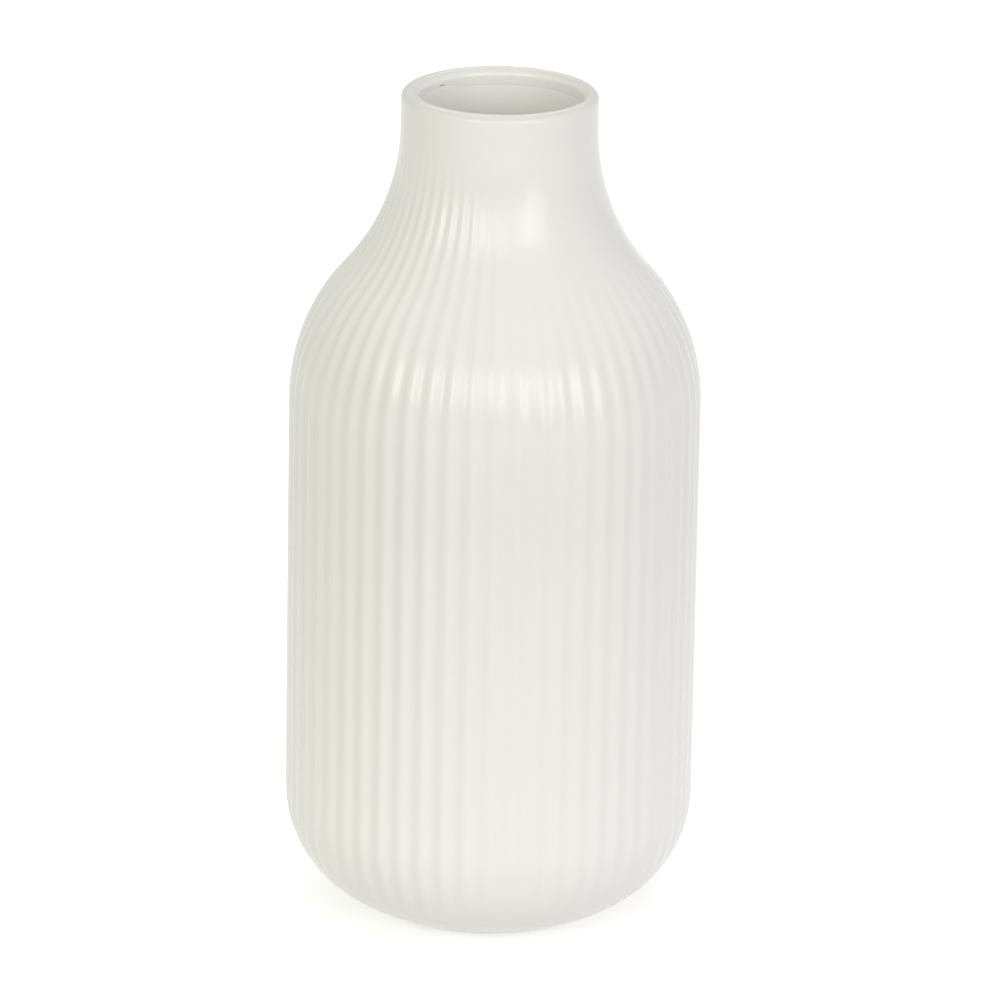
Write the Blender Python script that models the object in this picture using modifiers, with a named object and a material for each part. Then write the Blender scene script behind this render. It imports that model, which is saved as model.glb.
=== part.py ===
"""Ceramic bud vase: a bottle-shaped stoneware vessel with soft upright ribs, glazed in two coats.

Units are metres and +Z is up. The axis of the vase is the Z axis, and the origin is the
middle of the ring that it stands on. The wall is one even thickness, as slip casting
makes it, so every surface of it is the same curve, set in from the outside by a constant
distance: a rounded lip, a neck that flares in a hollow curve, a full shoulder, a nearly
straight wall, and a round turn into the base.

Three pieces, from the clay outwards and inwards:
  stoneware_body  the cast and fired clay, with the ribs outside and a bare foot ring
  outer_glaze     the satin coat, from just above the foot over the lip into the mouth
  liner_glaze     the gloss coat that makes the inside watertight
"""

import math

import bpy

# Driving dimensions of the outside, over the glaze and on the crests of the ribs
HEIGHT = 0.2000
NECK_RADIUS = 0.0229
WALL_TOP_RADIUS = 0.0483
WALL_FOOT_RADIUS = 0.0486
SHOULDER_START = 0.1256
SHOULDER_CURVE = 0.0459
NECK_CURVE = 0.0526
CORNER_CURVE = 0.0270
CORNER_LOWEST = 0.0008
CORNER_SWEEP = math.radians(80)

# The wall, from the outside in: glaze, clay, glaze, with a clearance on each side of the clay
WALL_THICKNESS = 0.0038
GLAZE_THICKNESS = 0.00045
CLEARANCE = 0.0003
LIP_GLAZE_DEPTH = 0.0036

# Ribs: an even wave around the wall, shallower where the vase is narrower
RIB_COUNT = 57
RIB_DEPTH = 0.00055
RIB_FADE_START = 0.175
RIB_FADE_END = 0.1916
RIB_FOOT_START = 0.0020
RIB_FOOT_FULL = 0.0300

# Bare foot ring under the base
FOOT_OUTER_RADIUS = 0.0250
FOOT_INNER_RADIUS = 0.0214
FOOT_SLOPE = 0.0004
FOOT_CHAMFER = 0.0004
RECESS_DEPTH = 0.0015

# Facets of each round stretch of the outline, and around the axis
LIP_FACETS = 2
NECK_FACETS = 4
SHOULDER_FACETS = 4
CORNER_FACETS = 5
RIBBED_STEPS = 2 * RIB_COUNT
SMOOTH_STEPS = 40

BODY_INSET = GLAZE_THICKNESS + CLEARANCE
BODY_INNER_INSET = WALL_THICKNESS - BODY_INSET
LIP_CURVE = WALL_THICKNESS / 2
WELD = 0.00001
CREASE_ANGLE = math.radians(40)

# The shoulder and neck curves turn through the same angle, so that they meet smoothly
SHOULDER_SWEEP = math.acos(
    1 - (WALL_TOP_RADIUS - NECK_RADIUS) / (SHOULDER_CURVE + NECK_CURVE)
)
NECK_START = SHOULDER_START + (SHOULDER_CURVE + NECK_CURVE) * math.sin(SHOULDER_SWEEP)
LIP_CENTRE = (NECK_RADIUS - LIP_CURVE, HEIGHT - LIP_CURVE)
NECK_CENTRE = (NECK_RADIUS + NECK_CURVE, NECK_START)
SHOULDER_CENTRE = (WALL_TOP_RADIUS - SHOULDER_CURVE, SHOULDER_START)
CORNER_CENTRE = (WALL_FOOT_RADIUS - CORNER_CURVE, CORNER_LOWEST + CORNER_CURVE)


def arc(centre, radius, start, end, facets):
    """Points on a circle in the outline's plane, both ends included."""
    points = []
    for step in range(facets + 1):
        angle = start + (end - start) * step / facets
        points.append(
            (centre[0] + radius * math.cos(angle), centre[1] + radius * math.sin(angle))
        )
    return points


def wall_outline(inset):
    """One surface of the wall, set in from the outside, from the neck's top to the foot."""
    neck = arc(NECK_CENTRE, NECK_CURVE + inset, math.pi, math.pi + SHOULDER_SWEEP, NECK_FACETS)
    shoulder = arc(SHOULDER_CENTRE, SHOULDER_CURVE - inset, SHOULDER_SWEEP, 0, SHOULDER_FACETS)
    corner = arc(CORNER_CENTRE, CORNER_CURVE - inset, 0, -CORNER_SWEEP, CORNER_FACETS)
    return neck + shoulder[1:] + corner


def lip_outline(inset):
    """The rounded lip of one surface, from the mouth's side over the top to the outside."""
    return arc(LIP_CENTRE, LIP_CURVE - inset, math.pi, 0, 2 * LIP_FACETS)


def inner_outline(inset):
    """One surface of the inside, from the middle of the floor up to the neck's top."""
    corner_radius = CORNER_CURVE - inset
    floor = (0, CORNER_CENTRE[1] - corner_radius)
    wall = wall_outline(inset)
    rising = list(reversed(wall[: NECK_FACETS + SHOULDER_FACETS + 1]))
    corner = arc(CORNER_CENTRE, corner_radius, -math.pi / 2, 0, CORNER_FACETS)
    return [floor] + corner + rising


def smooth_step(value):
    """Rises gently from 0 to 1 as the value does."""
    value = min(max(value, 0), 1)
    return value * value * (3 - 2 * value)


def rib_depth(radius, height):
    """How deep the grooves are here: full on the wall, fading on the neck and at the foot."""
    fade = smooth_step((RIB_FADE_END - height) / (RIB_FADE_END - RIB_FADE_START))
    rise = smooth_step((height - RIB_FOOT_START) / (RIB_FOOT_FULL - RIB_FOOT_START))
    return RIB_DEPTH * radius / WALL_TOP_RADIUS * fade * rise


def material(name, color, roughness, metallic=0.0):
    made = bpy.data.materials.new(name)
    made.use_nodes = True
    shader = made.node_tree.nodes["Principled BSDF"]
    shader.inputs["Base Color"].default_value = (*color, 1)
    shader.inputs["Roughness"].default_value = roughness
    shader.inputs["Metallic"].default_value = metallic
    return made


def turned(name, outline, depths, steps, surface, collection):
    """Turns an outline about Z, then presses the grooves in where the outline has a depth."""
    profile = bpy.data.meshes.new(name + "_profile")
    edges = [(i, i + 1) for i in range(len(outline) - 1)]
    if outline[0][0] > WELD:
        edges.append((len(outline) - 1, 0))
    profile.from_pydata([(radius, 0, height) for radius, height in outline], edges, [])
    groove = profile.attributes.new("groove", "FLOAT", "POINT")
    groove.data.foreach_set("value", depths)
    guide = bpy.data.objects.new(name + "_profile", profile)
    collection.objects.link(guide)
    screw = guide.modifiers.new("Turn", "SCREW")
    screw.axis = "Z"
    screw.angle = 2 * math.pi
    screw.steps = steps
    screw.render_steps = steps
    screw.use_merge_vertices = True
    screw.merge_threshold = WELD

    graph = bpy.context.evaluated_depsgraph_get()
    mesh = bpy.data.meshes.new_from_object(guide.evaluated_get(graph))
    bpy.data.objects.remove(guide)
    for vertex, cut in zip(mesh.vertices, mesh.attributes["groove"].data):
        around = math.atan2(vertex.co.y, vertex.co.x)
        push = cut.value * (1 - math.cos(RIB_COUNT * around)) / 2
        vertex.co.x -= push * math.cos(around)
        vertex.co.y -= push * math.sin(around)
    mesh.attributes.remove(mesh.attributes["groove"])
    mesh.name = name
    mesh.materials.clear()
    mesh.materials.append(surface)
    mesh.shade_smooth()
    mesh.set_sharp_from_angle(angle=CREASE_ANGLE)
    made = bpy.data.objects.new(name, mesh)
    collection.objects.link(made)
    return made


def foot_outline():
    """The bare foot ring and the recessed underside, from outside to the axis."""
    reach = FOOT_OUTER_RADIUS - CORNER_CENTRE[0]
    drop = math.sqrt((CORNER_CURVE - BODY_INSET) ** 2 - reach**2)
    return [
        (FOOT_OUTER_RADIUS, CORNER_CENTRE[1] - drop),
        (FOOT_OUTER_RADIUS - FOOT_SLOPE, FOOT_CHAMFER),
        (FOOT_OUTER_RADIUS - FOOT_SLOPE - FOOT_CHAMFER, 0),
        (FOOT_INNER_RADIUS + FOOT_SLOPE + FOOT_CHAMFER, 0),
        (FOOT_INNER_RADIUS + FOOT_SLOPE, FOOT_CHAMFER),
        (FOOT_INNER_RADIUS, RECESS_DEPTH),
        (0, RECESS_DEPTH),
    ]


def stoneware_body(collection):
    inside = inner_outline(BODY_INNER_INSET)
    lip = lip_outline(BODY_INSET)
    outside = wall_outline(BODY_INSET)
    foot = foot_outline()
    depths = [0.0] * (len(inside) + len(lip))
    depths += [rib_depth(radius, height) for radius, height in outside]
    depths += [0.0] * len(foot)
    surface = material("bisque stoneware", (0.72, 0.69, 0.62), 0.85)
    outline = inside + lip + outside + foot
    return turned("stoneware_body", outline, depths, RIBBED_STEPS, surface, collection)


def outer_glaze(collection):
    mouth_end = HEIGHT - LIP_GLAZE_DEPTH
    lip = lip_outline(0)
    under_lip = lip_outline(GLAZE_THICKNESS)
    outside = wall_outline(0)
    under = wall_outline(GLAZE_THICKNESS)
    outline = [(lip[0][0], mouth_end)] + lip + outside
    outline += list(reversed(under)) + list(reversed(under_lip))
    outline += [(under_lip[0][0], mouth_end)]
    ribs = [rib_depth(radius, height) for radius, height in outside]
    depths = [0.0] * (1 + len(lip)) + ribs + list(reversed(ribs)) + [0.0] * (len(under_lip) + 1)
    surface = material("satin white glaze", (0.80, 0.79, 0.74), 0.35)
    return turned("outer_glaze", outline, depths, RIBBED_STEPS, surface, collection)


def liner_glaze(collection):
    mouth_start = HEIGHT - LIP_GLAZE_DEPTH - CLEARANCE
    face = inner_outline(WALL_THICKNESS)
    back = inner_outline(WALL_THICKNESS - GLAZE_THICKNESS)
    outline = face + [(face[-1][0], mouth_start), (back[-1][0], mouth_start)]
    outline += list(reversed(back))
    depths = [0.0] * len(outline)
    surface = material("gloss liner glaze", (0.80, 0.79, 0.75), 0.15)
    return turned("liner_glaze", outline, depths, SMOOTH_STEPS, surface, collection)


def main():
    for leftover in list(bpy.data.objects):
        bpy.data.objects.remove(leftover)
    collection = bpy.data.collections.new("Bud vase")
    bpy.context.scene.collection.children.link(collection)
    stoneware_body(collection)
    outer_glaze(collection)
    liner_glaze(collection)


main()
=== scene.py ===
"""Looks of the ceramic bud vase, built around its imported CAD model.

Three pieces, one for each CAD node, all turned about the same outline as the CAD but with
round arcs, rounded ribs and rounded glaze edges: the fired clay, the satin coat outside
and the gloss liner inside. Metres, +Z up, the vase stands on z = 0.
"""

import math

import bpy
import numpy as np
from mathutils import Matrix, Vector


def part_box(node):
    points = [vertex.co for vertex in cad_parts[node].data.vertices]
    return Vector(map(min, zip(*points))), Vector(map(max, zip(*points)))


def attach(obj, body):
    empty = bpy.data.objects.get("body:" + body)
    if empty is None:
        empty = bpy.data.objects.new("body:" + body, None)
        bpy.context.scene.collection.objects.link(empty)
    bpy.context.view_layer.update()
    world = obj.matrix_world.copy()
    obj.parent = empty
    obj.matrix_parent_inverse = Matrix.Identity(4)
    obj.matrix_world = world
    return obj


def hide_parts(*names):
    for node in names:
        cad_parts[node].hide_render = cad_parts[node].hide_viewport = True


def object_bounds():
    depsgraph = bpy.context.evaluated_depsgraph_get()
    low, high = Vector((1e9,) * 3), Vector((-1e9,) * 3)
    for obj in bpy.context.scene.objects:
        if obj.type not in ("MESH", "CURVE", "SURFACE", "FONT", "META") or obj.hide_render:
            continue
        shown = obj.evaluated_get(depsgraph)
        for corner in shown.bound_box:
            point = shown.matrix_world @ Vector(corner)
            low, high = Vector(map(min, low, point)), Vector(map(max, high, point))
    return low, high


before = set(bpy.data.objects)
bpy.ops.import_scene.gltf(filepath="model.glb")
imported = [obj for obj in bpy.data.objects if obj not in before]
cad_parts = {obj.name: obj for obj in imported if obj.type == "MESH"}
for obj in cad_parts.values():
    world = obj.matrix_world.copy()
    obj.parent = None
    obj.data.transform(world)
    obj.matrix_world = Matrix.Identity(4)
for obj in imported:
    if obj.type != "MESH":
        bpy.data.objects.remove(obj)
cad_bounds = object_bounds()

# Overall sizes, from the frame. The wall keeps a hair inside the CAD's.
HAIR = 0.0000002
FOOT_LEVEL, HEIGHT = (corner.z for corner in cad_bounds)
WALL_FOOT_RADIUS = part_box("outer_glaze")[1].x - HAIR
LINER_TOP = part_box("liner_glaze")[1].z
CLAY_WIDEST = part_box("stoneware_body")[1].x

# The outline of the outside, the same as the CAD's
NECK_RADIUS = 0.0229
WALL_TOP_RADIUS = 0.0483
SHOULDER_START = 0.1256
SHOULDER_CURVE = 0.0459
NECK_CURVE = 0.0526
CORNER_CURVE = 0.0270
CORNER_LOWEST = 0.0008
CORNER_SWEEP = math.radians(80)
WALL_THICKNESS = 0.0038
GLAZE_THICKNESS = 0.00045
BODY_INSET = WALL_FOOT_RADIUS - CLAY_WIDEST
BODY_INNER_INSET = WALL_THICKNESS - BODY_INSET

# Ribs: an even rounded wave
RIB_COUNT = 57
RIB_DEPTH = 0.00055
RIB_FADE_START = 0.175
RIB_FADE_END = 0.1916
RIB_FOOT_START = 0.0020
RIB_FOOT_FULL = 0.0300

# On one side, told by the cosine of the angle around, the ribs are worn softer and stop
# lower on the shoulder
WORN_FADE_START = 0.143
WORN_FADE_END = 0.169
WORN_DEPTH = 0.7
WORN_FROM = -0.4
WORN_FULL = 0.3

# Bare foot ring under the base
FOOT_OUTER_RADIUS = 0.0250
FOOT_INNER_RADIUS = 0.0214
FOOT_SLOPE = 0.0004
FOOT_ROUND = 0.0004
RECESS_DEPTH = 0.0015

# The mouth was trimmed a little off centre, so the lip is thicker on one side
MOUTH_OFFSET = 0.00045
MOUTH_OFFSET_START = 0.180
MOUTH_OFFSET_FULL = 0.192

# Inside the mouth the seam between the glazes climbs in a bow, which has a small dark nick.
# Both glazes have a narrow rounded edge there.
MOUTH_EDGE = 0.00006
SEAM_CLIMB = 0.00105
SEAM_CLIMB_START = math.radians(174)
SEAM_CLIMB_SPAN = math.radians(35)
SEAM_FALL_END = math.radians(116)
SEAM_FALL_SPAN = math.radians(20)
SEAM_WAVE = 0.00001
SEAM_GAP = 0.00001
NICK_AROUND = math.radians(138)
NICK_WIDTH = math.radians(2.4)
NICK_RISE = 0.00035

# How finely the pieces are turned
COAT_COLUMNS = 10 * RIB_COUNT
CLAY_COLUMNS = 6 * RIB_COUNT
LINER_COLUMNS = 160
EDGE_FACETS = 6
CREASE_ANGLE = math.radians(50)

SHOULDER_SWEEP = math.acos(
    1 - (WALL_TOP_RADIUS - NECK_RADIUS) / (SHOULDER_CURVE + NECK_CURVE)
)
NECK_START = SHOULDER_START + (SHOULDER_CURVE + NECK_CURVE) * math.sin(SHOULDER_SWEEP)
LIP_CURVE = WALL_THICKNESS / 2
LIP_CENTRE = (NECK_RADIUS - LIP_CURVE, HEIGHT - LIP_CURVE)
NECK_CENTRE = (NECK_RADIUS + NECK_CURVE, NECK_START)
SHOULDER_CENTRE = (WALL_TOP_RADIUS - SHOULDER_CURVE, SHOULDER_START)
CORNER_CENTRE = (WALL_FOOT_RADIUS - CORNER_CURVE, CORNER_LOWEST + CORNER_CURVE)

# Painted light in the satin glaze's colour: lighter low on the wall, standing in for light thrown
# up by the table, and lighter inside the mouth, standing in for light falling into it. The top of
# the rim is darker.
BOUNCE_LIGHT_START = 0.110
BOUNCE_LIGHT_FULL = 0.030
MOUTH_LIGHT_START = 0.0212
MOUTH_LIGHT_FULL = 0.0198
RIM_DEPTH_START = 0.0014
RIM_DEPTH_FULL = 0.0004

# The camera, as an angle around the vase, a distance and a height
CAMERA_AROUND = math.radians(1.0)
CAMERA_DISTANCE = 1.352
CAMERA_HEIGHT = 0.5746
CAMERA_AIM_HEIGHT = 0.0999
CAMERA_ASIDE = 0.0016
CAMERA_ROLL = math.radians(1.0)
CAMERA_LENS = 218.6
CAMERA_SENSOR = 36.0

# The vase stands on a white table that is softly lit from below
FLOOR_REACH = 4.0
TABLE_GLOW = 0.33

# The studio's walls, seen from the vase: a little warmer on the left
WORLD_LEFT = (0.98, 0.99, 0.865)
WORLD_RIGHT = (1.0, 1.0, 1.0)
WORLD_WARM_FROM = 0.2


# ---------------------------------------------------------------- outline


def arc(centre, radius, start, end, facets):
    """Points on a circle in the outline's plane, both ends included."""
    turns = np.linspace(start, end, facets + 1)
    return [
        (centre[0] + radius * math.cos(turn), centre[1] + radius * math.sin(turn))
        for turn in turns
    ]


def straight(start, end, facets):
    """Points between two others, without the ends."""
    shares = np.linspace(0, 1, facets + 1)[1:-1]
    return [
        (start[0] + (end[0] - start[0]) * share, start[1] + (end[1] - start[1]) * share)
        for share in shares
    ]


def wall_outline(inset, fineness):
    """One surface of the wall, set in from the outside, from the neck's top to the foot."""
    neck = arc(
        NECK_CENTRE, NECK_CURVE + inset, math.pi, math.pi + SHOULDER_SWEEP, 2 * fineness
    )
    shoulder = arc(
        SHOULDER_CENTRE, SHOULDER_CURVE - inset, SHOULDER_SWEEP, 0, 2 * fineness
    )
    corner = arc(CORNER_CENTRE, CORNER_CURVE - inset, 0, -CORNER_SWEEP, 2 * fineness)
    wall = straight(shoulder[-1], corner[0], fineness)
    return neck + shoulder[1:] + wall + corner


def inner_outline(inset, fineness):
    """One surface of the inside, from the middle of the floor up to the neck's top."""
    corner_radius = CORNER_CURVE - inset
    floor_level = CORNER_CENTRE[1] - corner_radius
    corner = arc(CORNER_CENTRE, corner_radius, -math.pi / 2, 0, 2 * fineness)
    floor = straight((0, floor_level), corner[0], fineness)
    above_corner = wall_outline(inset, fineness)[: 5 * fineness]
    return [(0, floor_level)] + floor + corner + above_corner[::-1]


def smooth_step(value):
    """Rises gently from 0 to 1 as the value does."""
    value = np.clip(value, 0, 1)
    return value * value * (3 - 2 * value)


def worn_side(around):
    """1 on the side where the ribs are worn, 0 on the other, with a gentle change between."""
    return smooth_step((np.cos(around) - WORN_FROM) / (WORN_FULL - WORN_FROM))


def rib_depth(radius, height, around):
    """How deep the grooves are here: full on the wall, fading on the neck and at the foot."""
    worn = worn_side(around)
    start = RIB_FADE_START + (WORN_FADE_START - RIB_FADE_START) * worn
    end = RIB_FADE_END + (WORN_FADE_END - RIB_FADE_END) * worn
    fade = smooth_step((end - height) / (end - start))
    rise = smooth_step((height - RIB_FOOT_START) / (RIB_FOOT_FULL - RIB_FOOT_START))
    depth = RIB_DEPTH * (1 + (WORN_DEPTH - 1) * worn)
    return depth * radius / WALL_TOP_RADIUS * fade * rise


def mouth_share(radius, height):
    """How much of the mouth's offset a point takes: all of it inside, none on the outside."""
    rise = (height - MOUTH_OFFSET_START) / (MOUTH_OFFSET_FULL - MOUTH_OFFSET_START)
    inwards = (NECK_RADIUS - radius) / WALL_THICKNESS
    return smooth_step(rise) * smooth_step(inwards)


# ---------------------------------------------------------------- turned pieces


class Outline:
    """A turned outline: points, each with its ribs or none and its share of an edge's sway."""

    def __init__(self):
        self.points = []
        self.ribbed = []
        self.mouth_sway = []
        self.foot_sway = []

    def add(self, points, ribbed=False, mouth_sway=0.0, foot_sway=0.0):
        for radius, height in points:
            self.points.append((radius, height))
            self.ribbed.append(ribbed)
            self.mouth_sway.append(mouth_sway)
            self.foot_sway.append(foot_sway)


def turned(name, outline, columns, sways, surface, node):
    """Turns an outline about Z into a closed mesh, with the ribs and the edges' sway."""
    rings = np.array(outline.points)
    around = np.arange(columns) * 2 * math.pi / columns
    wave = (1 - np.cos(RIB_COUNT * around)) / 2
    grooves = np.array([
        rib_depth(*ring, around) * ribbed for ring, ribbed in zip(rings, outline.ribbed)
    ])
    radius = rings[:, :1] - grooves * wave
    height = rings[:, 1:] + np.zeros(columns)
    for share, sway in zip((outline.mouth_sway, outline.foot_sway), sways):
        height = height + np.outer(share, sway(around))
    on_axis = rings[:, 0] == 0
    closed = not on_axis[0]

    mesh = bpy.data.meshes.new(name)
    points = []
    first = []
    for ring in range(len(rings)):
        first.append(len(points))
        if on_axis[ring]:
            points.append((0, 0, rings[ring, 1]))
            continue
        x = radius[ring] * np.cos(around) + MOUTH_OFFSET * mouth_share(*rings[ring])
        y = radius[ring] * np.sin(around)
        points.extend(zip(x, y, height[ring]))
    faces = []
    last = len(rings) if closed else len(rings) - 1
    for ring in range(last):
        low, high = ring, (ring + 1) % len(rings)
        for column in range(columns):
            beside = (column + 1) % columns
            if on_axis[low]:
                faces.append((first[low], first[high] + column, first[high] + beside))
            elif on_axis[high]:
                faces.append((first[low] + column, first[high], first[low] + beside))
            else:
                faces.append(
                    (
                        first[low] + column,
                        first[high] + column,
                        first[high] + beside,
                        first[low] + beside,
                    )
                )
    mesh.from_pydata(points, [], faces)
    # Painted shade in the rib grooves: a share for each point, below zero in the grooves and none
    # on the worn side
    groove_shade = mesh.attributes.new("groove_shade", "FLOAT", "POINT")
    painted_groove_values = []
    for ring in range(len(rings)):
        if on_axis[ring]:
            painted_groove_values.append(0.0)
            continue
        painted_groove_values.extend(grooves[ring] / RIB_DEPTH * (1 - 2 * wave) * (1 - worn_side(around)))
    groove_shade.data.foreach_set("value", painted_groove_values)
    mesh.shade_smooth()
    mesh.set_sharp_from_angle(angle=CREASE_ANGLE)
    mesh.materials.append(surface)
    piece = bpy.data.objects.new(name, mesh)
    bpy.context.scene.collection.objects.link(piece)
    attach(piece, "root")
    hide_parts(node)
    return piece


def level(around):
    return np.zeros_like(around)


def seam_rise(around):
    """How far the seam between the two glazes, inside the mouth, climbs: in a bow on one side."""
    climb = smooth_step((SEAM_CLIMB_START - around) / SEAM_CLIMB_SPAN)
    fall = smooth_step((around - SEAM_FALL_END) / SEAM_FALL_SPAN)
    return SEAM_CLIMB * climb * fall + SEAM_WAVE * np.sin(3 * around + 0.6)


def mouth_sway(around):
    """The satin coat's edge inside the mouth: it follows the seam and has a small nick."""
    nick = np.exp(-(((around - NICK_AROUND) / NICK_WIDTH) ** 2))
    return seam_rise(around) + SEAM_GAP + NICK_RISE * nick


def foot_sway(around):
    """The satin coat's lower edge, wiped by hand."""
    return (
        0.00014 * np.sin(2 * around + 1)
        + 0.00008 * np.sin(5 * around + 0.3)
        + 0.00005 * np.sin(13 * around + 2)
    )


def satin_coat(surface):
    half = GLAZE_THICKNESS / 2
    mouth_radius = NECK_RADIUS - WALL_THICKNESS
    outline = Outline()
    outline.add([(mouth_radius + GLAZE_THICKNESS, LINER_TOP)], mouth_sway=1.0)
    edge_centre = (mouth_radius + MOUTH_EDGE, LINER_TOP + MOUTH_EDGE)
    edge = arc(edge_centre, MOUTH_EDGE, -math.pi / 2, -math.pi, EDGE_FACETS)
    outline.add(edge, mouth_sway=1.0)
    lip_side = (mouth_radius, LIP_CENTRE[1])
    outline.add(straight(edge[-1], lip_side, 3), mouth_sway=0.4)
    outline.add(arc(LIP_CENTRE, LIP_CURVE, math.pi, 0, 24))
    outline.add(straight((NECK_RADIUS, LIP_CENTRE[1]), (NECK_RADIUS, NECK_START), 3))
    outline.add(wall_outline(0, 9), ribbed=True)
    end_centre = (
        CORNER_CENTRE[0] + (CORNER_CURVE - half) * math.cos(-CORNER_SWEEP),
        CORNER_CENTRE[1] + (CORNER_CURVE - half) * math.sin(-CORNER_SWEEP),
    )
    end = arc(end_centre, half, -CORNER_SWEEP, -CORNER_SWEEP - math.pi, EDGE_FACETS)
    outline.add(end[1:-1], foot_sway=1.0)
    outline.add(wall_outline(GLAZE_THICKNESS, 4)[::-1], ribbed=True)
    outline.add(arc(LIP_CENTRE, LIP_CURVE - GLAZE_THICKNESS, 0, math.pi, 8))
    return turned(
        "satin_outer_glaze", outline, COAT_COLUMNS, (mouth_sway, foot_sway),
        surface, "outer_glaze",
    )


def gloss_liner(surface):
    inset = WALL_THICKNESS - GLAZE_THICKNESS
    outline = Outline()
    face = inner_outline(WALL_THICKNESS, 8)
    outline.add(face)
    edge_centre = (NECK_RADIUS - WALL_THICKNESS + MOUTH_EDGE / 2, LINER_TOP - MOUTH_EDGE / 2)
    edge = arc(edge_centre, MOUTH_EDGE / 2, math.pi, math.pi / 2, EDGE_FACETS)
    outline.add(straight(face[-1], edge[0], 4), mouth_sway=0.5)
    outline.add(edge, mouth_sway=1.0)
    back_radius = NECK_RADIUS - WALL_THICKNESS + GLAZE_THICKNESS
    outline.add([(back_radius, LINER_TOP)], mouth_sway=1.0)
    outline.add(inner_outline(inset, 4)[::-1])
    return turned(
        "gloss_liner_glaze", outline, LINER_COLUMNS, (seam_rise, level),
        surface, "liner_glaze",
    )


def fired_clay(surface):
    outline = Outline()
    outline.add(inner_outline(BODY_INNER_INSET, 4))
    outline.add(arc(LIP_CENTRE, LIP_CURVE - BODY_INSET, math.pi, 0, 12))
    outline.add(wall_outline(BODY_INSET, 6), ribbed=True)
    reach = FOOT_OUTER_RADIUS - CORNER_CENTRE[0]
    drop = math.sqrt((CORNER_CURVE - BODY_INSET) ** 2 - reach**2)
    outline.add([(FOOT_OUTER_RADIUS, CORNER_CENTRE[1] - drop)])
    outer = (FOOT_OUTER_RADIUS - FOOT_SLOPE - FOOT_ROUND, FOOT_LEVEL + FOOT_ROUND)
    inner = (FOOT_INNER_RADIUS + FOOT_SLOPE + FOOT_ROUND, FOOT_LEVEL + FOOT_ROUND)
    outline.add(arc(outer, FOOT_ROUND, 0, -math.pi / 2, EDGE_FACETS))
    outline.add(straight((outer[0], FOOT_LEVEL), (inner[0], FOOT_LEVEL), 3))
    outline.add(arc(inner, FOOT_ROUND, -math.pi / 2, -math.pi, EDGE_FACETS))
    ceiling = FOOT_LEVEL + RECESS_DEPTH
    outline.add([(FOOT_INNER_RADIUS, ceiling)])
    outline.add(straight((FOOT_INNER_RADIUS, ceiling), (0, ceiling), 6))
    outline.add([(0, ceiling)])
    return turned(
        "fired_clay_body", outline, CLAY_COLUMNS, (level, level),
        surface, "stoneware_body",
    )


# ---------------------------------------------------------------- materials


class Surface:
    """A procedural ceramic surface, mapped in the vase's own metres."""

    def __init__(self, name):
        self.material = bpy.data.materials.new(name)
        self.material.use_nodes = True
        self.tree = self.material.node_tree
        self.shader = self.tree.nodes["Principled BSDF"]
        self.place = self.tree.nodes.new("ShaderNodeTexCoord").outputs["Object"]

    def link(self, source, socket):
        self.tree.links.new(source, socket)

    def noise(self, size, detail=2.0):
        """Noise whose features are about this many metres across."""
        node = self.tree.nodes.new("ShaderNodeTexNoise")
        node.inputs["Scale"].default_value = 1 / size
        node.inputs["Detail"].default_value = detail
        self.link(self.place, node.inputs["Vector"])
        return node.outputs["Fac"]

    def attribute(self, name):
        node = self.tree.nodes.new("ShaderNodeAttribute")
        node.attribute_name = name
        return node.outputs["Fac"]

    def ranged(self, source, from_range, to_range):
        node = self.tree.nodes.new("ShaderNodeMapRange")
        self.link(source, node.inputs["Value"])
        node.inputs["From Min"].default_value = from_range[0]
        node.inputs["From Max"].default_value = from_range[1]
        node.inputs["To Min"].default_value = to_range[0]
        node.inputs["To Max"].default_value = to_range[1]
        return node.outputs["Result"]

    def blend(self, share, first, second):
        """A colour between two others."""
        node = self.tree.nodes.new("ShaderNodeMix")
        node.data_type = "RGBA"
        self.link(share, node.inputs["Factor"])
        for socket, color in ((node.inputs["A"], first), (node.inputs["B"], second)):
            if isinstance(color, tuple):
                socket.default_value = (*color, 1)
            else:
                self.link(color, socket)
        return node.outputs["Result"]

    def bump(self, source, height, onto=None):
        """Raises the surface by up to this height, in metres."""
        node = self.tree.nodes.new("ShaderNodeBump")
        node.inputs["Distance"].default_value = height
        self.link(source, node.inputs["Height"])
        if onto:
            self.link(onto, node.inputs["Normal"])
        return node.outputs["Normal"]


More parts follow.
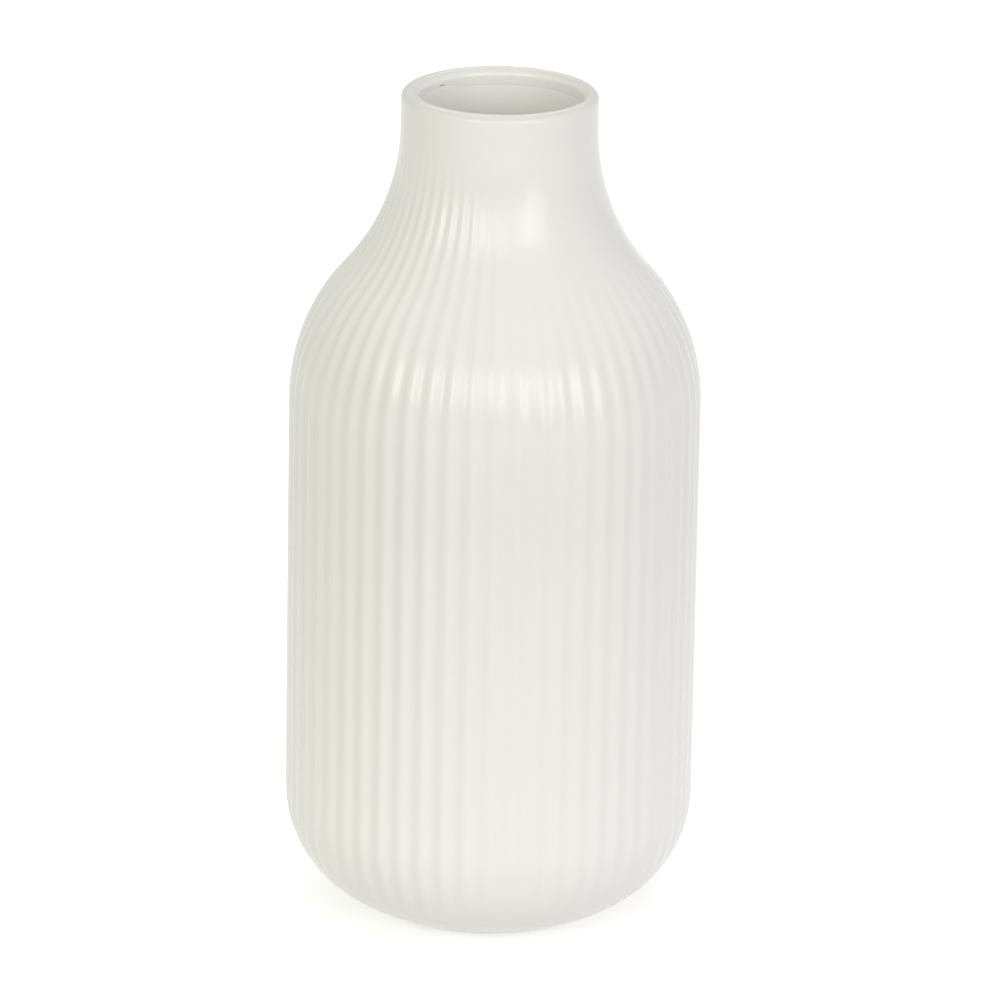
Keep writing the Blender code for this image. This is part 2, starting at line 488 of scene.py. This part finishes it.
def satin_glaze():
    made = Surface("satin white glaze")
    drift = made.ranged(made.noise(0.03), (0.3, 0.7), (0, 1))
    ground = made.blend(drift, (0.802, 0.787, 0.762), (0.817, 0.802, 0.779))
    height = made.tree.nodes.new("ShaderNodeSeparateXYZ")
    made.link(made.place, height.inputs[0])
    # Painted light: the glaze is painted whiter low on the wall, in place of light thrown up from
    # the table
    bounce_light_share = made.ranged(height.outputs["Z"], (BOUNCE_LIGHT_START, BOUNCE_LIGHT_FULL), (0, 1))
    ground = made.blend(bounce_light_share, ground, (0.91, 0.895, 0.872))
    # Painted shade: the satin glaze is painted darker in the rib grooves, except on the worn side
    unshaded_share = made.ranged(made.attribute("groove_shade"), (-1, 1), (0, 1))
    painted_groove_color = made.blend(bounce_light_share, (0.776, 0.761, 0.728), (0.865, 0.850, 0.820))
    outside = made.blend(unshaded_share, painted_groove_color, ground)
    across = made.tree.nodes.new("ShaderNodeVectorMath")
    across.operation = "MULTIPLY"
    across.inputs[1].default_value = (1, 1, 0)
    made.link(made.place, across.inputs[0])
    radius = made.tree.nodes.new("ShaderNodeVectorMath")
    radius.operation = "LENGTH"
    made.link(across.outputs["Vector"], radius.inputs[0])
    # Painted light: the glaze is painted whiter inside the mouth, in place of light falling into it
    mouth_light_share = made.ranged(
        radius.outputs["Value"], (MOUTH_LIGHT_START, MOUTH_LIGHT_FULL), (0, 1)
    )
    inside = made.blend(mouth_light_share, outside, (0.91, 0.895, 0.865))
    # Darker on the top of the rim
    on_rim = made.ranged(
        height.outputs["Z"], (HEIGHT - RIM_DEPTH_START, HEIGHT - RIM_DEPTH_FULL), (0, 1)
    )
    color = made.blend(on_rim, inside, (0.705, 0.680, 0.650))
    made.link(color, made.shader.inputs["Base Color"])
    rough = made.ranged(made.noise(0.008, 3), (0.3, 0.7), (0.185, 0.24))
    made.link(rough, made.shader.inputs["Roughness"])
    soft = made.bump(made.noise(0.012), 0.00006)
    made.link(made.bump(made.noise(0.0012), 0.000006, soft), made.shader.inputs["Normal"])
    return made.material


def liner_glaze():
    made = Surface("gloss liner glaze")
    drift = made.ranged(made.noise(0.02), (0.3, 0.7), (0, 1))
    # The liner's colour is its white gloss glaze, painted lighter than the glaze itself as painted
    # light inside the vase
    made.link(
        made.blend(drift, (0.93, 0.91, 0.87), (0.95, 0.93, 0.89)),
        made.shader.inputs["Base Color"],
    )
    made.link(
        made.ranged(made.noise(0.01), (0.3, 0.7), (0.10, 0.16)),
        made.shader.inputs["Roughness"],
    )
    made.link(made.bump(made.noise(0.01), 0.00008), made.shader.inputs["Normal"])
    return made.material


def bisque():
    made = Surface("bisque stoneware")
    drift = made.ranged(made.noise(0.006, 4), (0.3, 0.7), (0, 1))
    ground = made.blend(drift, (0.56, 0.51, 0.42), (0.66, 0.61, 0.52))
    specks = made.ranged(made.noise(0.0009, 1), (0.70, 0.74), (0, 1))
    made.link(made.blend(specks, ground, (0.30, 0.24, 0.17)), made.shader.inputs["Base Color"])
    made.link(
        made.ranged(made.noise(0.002), (0.3, 0.7), (0.78, 0.92)),
        made.shader.inputs["Roughness"],
    )
    made.link(made.bump(made.noise(0.0005, 3), 0.00003), made.shader.inputs["Normal"])
    return made.material


def paper():
    made = Surface("pale sweep")
    drift = made.ranged(made.noise(0.4), (0.3, 0.7), (0, 1))
    made.link(
        made.blend(drift, (0.90, 0.90, 0.90), (0.91, 0.91, 0.91)),
        made.shader.inputs["Base Color"],
    )
    made.shader.inputs["Roughness"].default_value = 0.9
    made.shader.inputs["Emission Color"].default_value = (1, 1, 1, 1)
    made.shader.inputs["Emission Strength"].default_value = TABLE_GLOW
    return made.material


# ---------------------------------------------------------------- stage


def add_camera():
    """A camera around the vase, held a little out of level as the photographer held it."""
    turn = Matrix.Rotation(CAMERA_AROUND, 4, "Z")
    place = turn @ Vector((CAMERA_ASIDE, -CAMERA_DISTANCE, CAMERA_HEIGHT))
    aim = turn @ Vector((CAMERA_ASIDE, 0, CAMERA_AIM_HEIGHT))
    data = bpy.data.cameras.new("camera")
    data.lens = CAMERA_LENS
    data.sensor_width = CAMERA_SENSOR
    data.clip_start = 0.05
    data.clip_end = 50
    camera = bpy.data.objects.new("camera", data)
    look = (aim - place).to_track_quat("-Z", "Y").to_matrix().to_4x4()
    roll = Matrix.Rotation(CAMERA_ROLL, 4, "Z")
    camera.matrix_world = Matrix.Translation(place) @ look @ roll
    bpy.context.scene.collection.objects.link(camera)
    bpy.context.scene.camera = camera


def add_floor():
    """The table. It throws no diffuse light on the vase, whose walls it would make too bright."""
    mesh = bpy.data.meshes.new("floor")
    corners = [(-1, -1), (1, -1), (1, 1), (-1, 1)]
    points = [(FLOOR_REACH * x, FLOOR_REACH * y, FOOT_LEVEL) for x, y in corners]
    mesh.from_pydata(points, [], [(0, 1, 2, 3)])
    mesh.materials.append(paper())
    floor = bpy.data.objects.new("floor", mesh)
    bpy.context.scene.collection.objects.link(floor)
    floor.visible_diffuse = False


def add_softbox(name, around, rise, distance, width, height, watts, tint=(1, 1, 1)):
    """A rectangular light that faces the vase, placed by its angle around and above it."""
    data = bpy.data.lights.new(name, "AREA")
    data.shape = "RECTANGLE"
    data.size = width
    data.size_y = height
    data.energy = watts
    data.color = tint
    light = bpy.data.objects.new(name, data)
    around, rise = math.radians(around) + CAMERA_AROUND, math.radians(rise)
    aim = Vector((0, 0, HEIGHT / 2))
    away = Vector(
        (
            math.sin(around) * math.cos(rise),
            -math.cos(around) * math.cos(rise),
            math.sin(rise),
        )
    )
    light.location = aim + away * distance
    light.rotation_euler = away.to_track_quat("Z", "Y").to_euler()
    light.visible_camera = False
    bpy.context.scene.collection.objects.link(light)


def add_world(strength):
    world = bpy.data.worlds.new("studio")
    bpy.context.scene.world = world
    world.use_nodes = True
    tree = world.node_tree
    background = tree.nodes["Background"]
    background.inputs["Strength"].default_value = strength
    toward = tree.nodes.new("ShaderNodeSeparateXYZ")
    tree.links.new(tree.nodes.new("ShaderNodeTexCoord").outputs["Generated"], toward.inputs[0])
    side = tree.nodes.new("ShaderNodeMapRange")
    tree.links.new(toward.outputs["X"], side.inputs["Value"])
    side.inputs["From Min"].default_value = -1
    side.inputs["From Max"].default_value = WORLD_WARM_FROM
    tint = tree.nodes.new("ShaderNodeMix")
    tint.data_type = "RGBA"
    tint.inputs["A"].default_value = (*WORLD_LEFT, 1)
    tint.inputs["B"].default_value = (*WORLD_RIGHT, 1)
    tree.links.new(side.outputs["Result"], tint.inputs["Factor"])
    tree.links.new(tint.outputs["Result"], background.inputs["Color"])


add_camera()
add_floor()
add_world(0.675)
add_softbox("right softbox", 40, 17, 1.5, 0.55, 0.65, 2.6)
add_softbox("right front softbox", 25, 22, 1.5, 0.5, 0.5, 1.7)
add_softbox("front softbox", 0, 25, 1.5, 0.5, 0.5, 1.5)
add_softbox("left front softbox", -29, 22, 1.5, 0.6, 0.5, 3.2, (0.98, 1.0, 0.93))
add_softbox("back softbox", 180, 50, 1.5, 0.9, 0.7, 2.5)
add_softbox("overhead softbox", 0, 90, 1.5, 1.0, 1.0, 2.5)
bpy.context.scene.view_settings.view_transform = "Standard"

fired_clay(bisque())
gloss_liner(liner_glaze())
satin_coat(satin_glaze())
